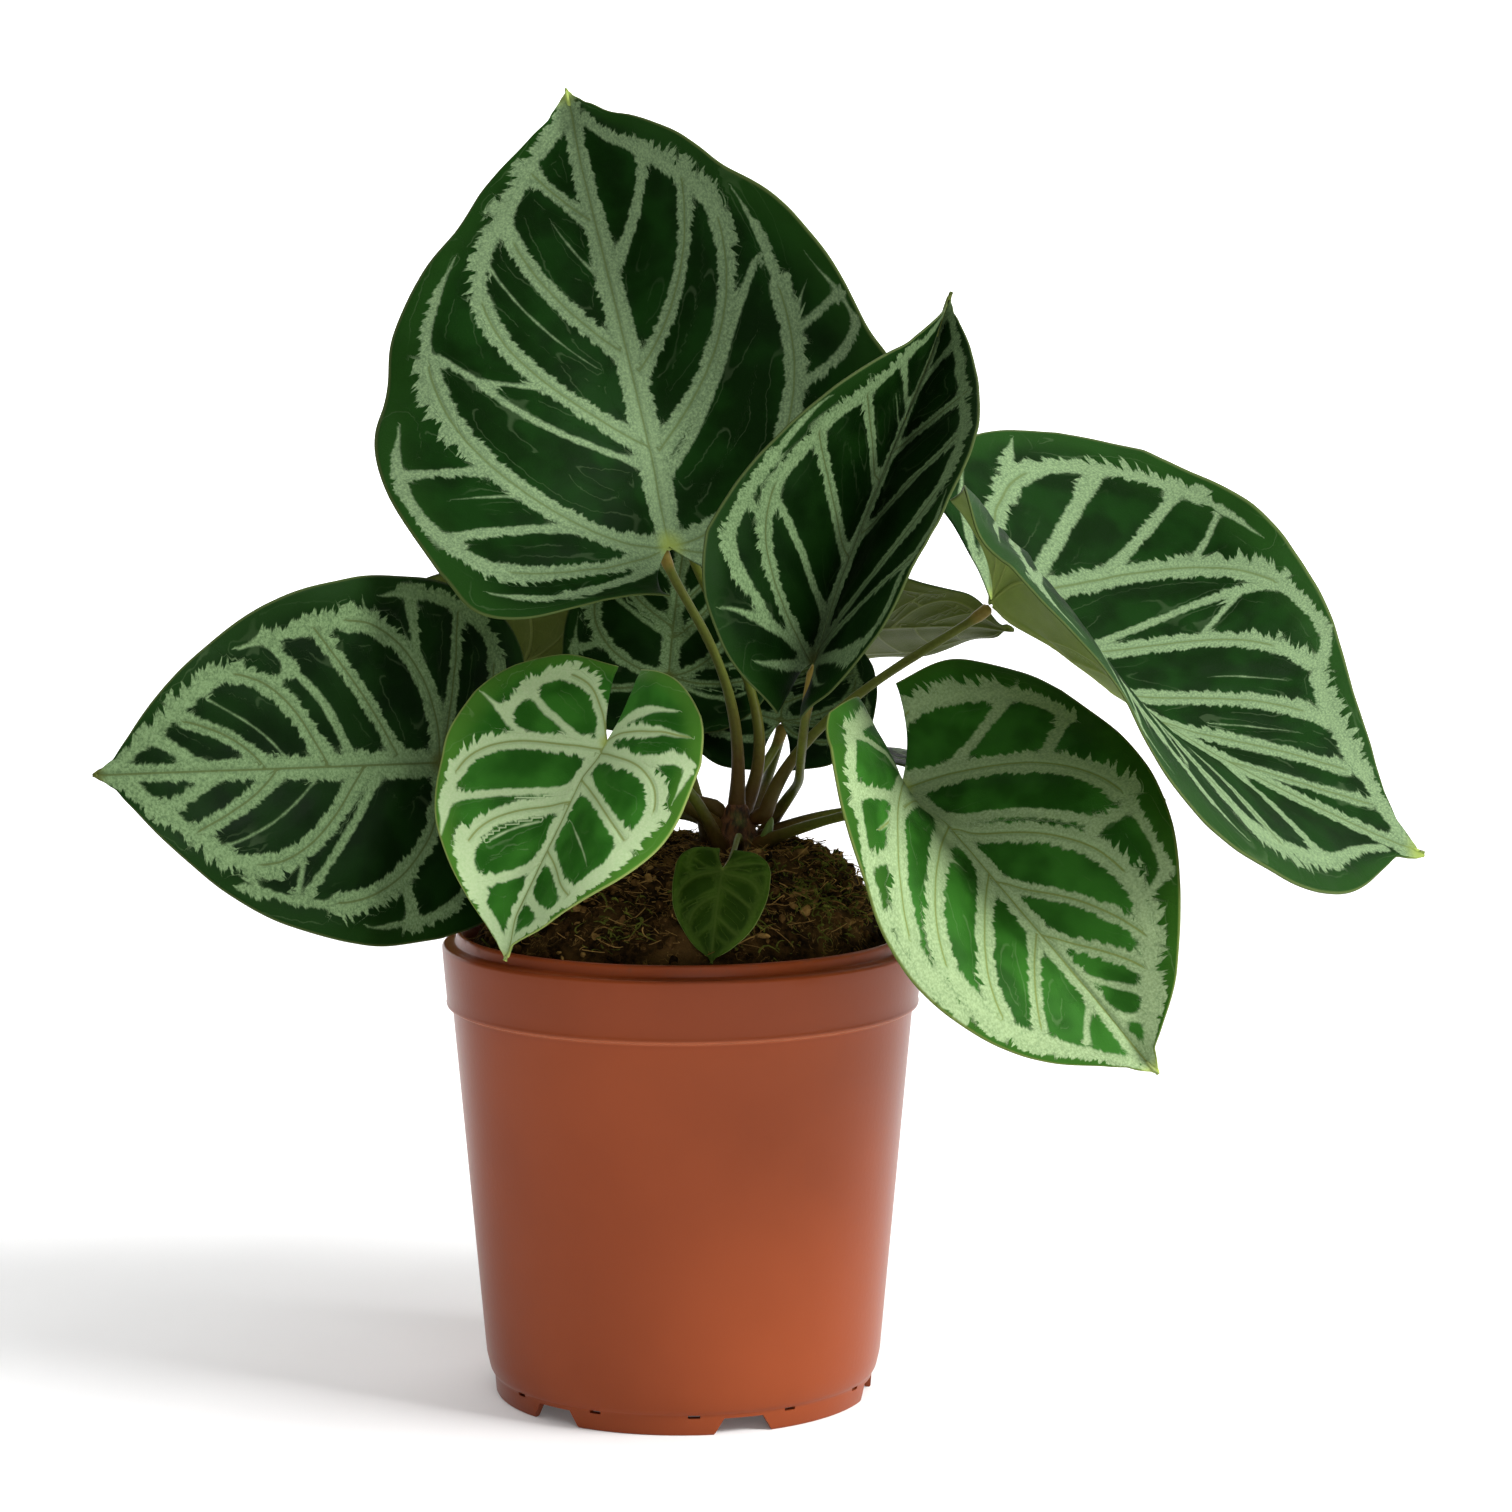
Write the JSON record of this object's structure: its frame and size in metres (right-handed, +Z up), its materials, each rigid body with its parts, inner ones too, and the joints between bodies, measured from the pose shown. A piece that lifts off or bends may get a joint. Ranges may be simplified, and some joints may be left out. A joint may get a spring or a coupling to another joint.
{
  "type": "potted anthurium",
  "caption": "House plant in a round plastic nursery pot: large heart-shaped dark green leaves with broad silvery veins, on thin stalks from one crown, over heaped potting soil.",
  "frame": {"origin": "centre of the pot's foot, on the surface that it stands on", "axes": "+Z up, -Y towards the viewer of the picture, +X to the viewer's right"},
  "size_m": [0.3192, 0.2222, 0.3252],
  "materials": {
    "pot": "satin terracotta-coloured moulded plastic",
    "soil": "moist fibrous peat and coir, rough and matt",
    "crown": "rough brown stem base with root nubs",
    "dark_leaf": "dark green velvety leaf with silver-green veins",
    "fresh_leaf": "fresher green leaf with pale green veins",
    "petiole": "smooth olive-brown stalk"
  },
  "bodies": {
    "root": {"pot": "pot", "soil": "soil", "crown": "crown", "blade_tall": "dark_leaf", "petiole_tall": "petiole", "blade_centre": "dark_leaf", "petiole_centre": "petiole", "blade_left": "dark_leaf", "petiole_left": "petiole", "blade_front_left": "fresh_leaf", "petiole_front_left": "petiole", "blade_right": "dark_leaf", "petiole_right": "petiole", "blade_front_right": "fresh_leaf", "petiole_front_right": "petiole", "blade_young": "fresh_leaf", "petiole_young": "petiole", "blade_inner": "dark_leaf", "petiole_inner": "petiole", "blade_side": "dark_leaf", "petiole_side": "petiole", "blade_low": "dark_leaf", "petiole_low": "petiole", "blade_turned": "dark_leaf", "petiole_turned": "petiole", "blade_rear_high": "dark_leaf", "petiole_rear_high": "petiole", "blade_rear_right": "dark_leaf", "petiole_rear_right": "petiole", "blade_rear_low": "dark_leaf", "petiole_rear_low": "petiole"}
  },
  "joints": []
}
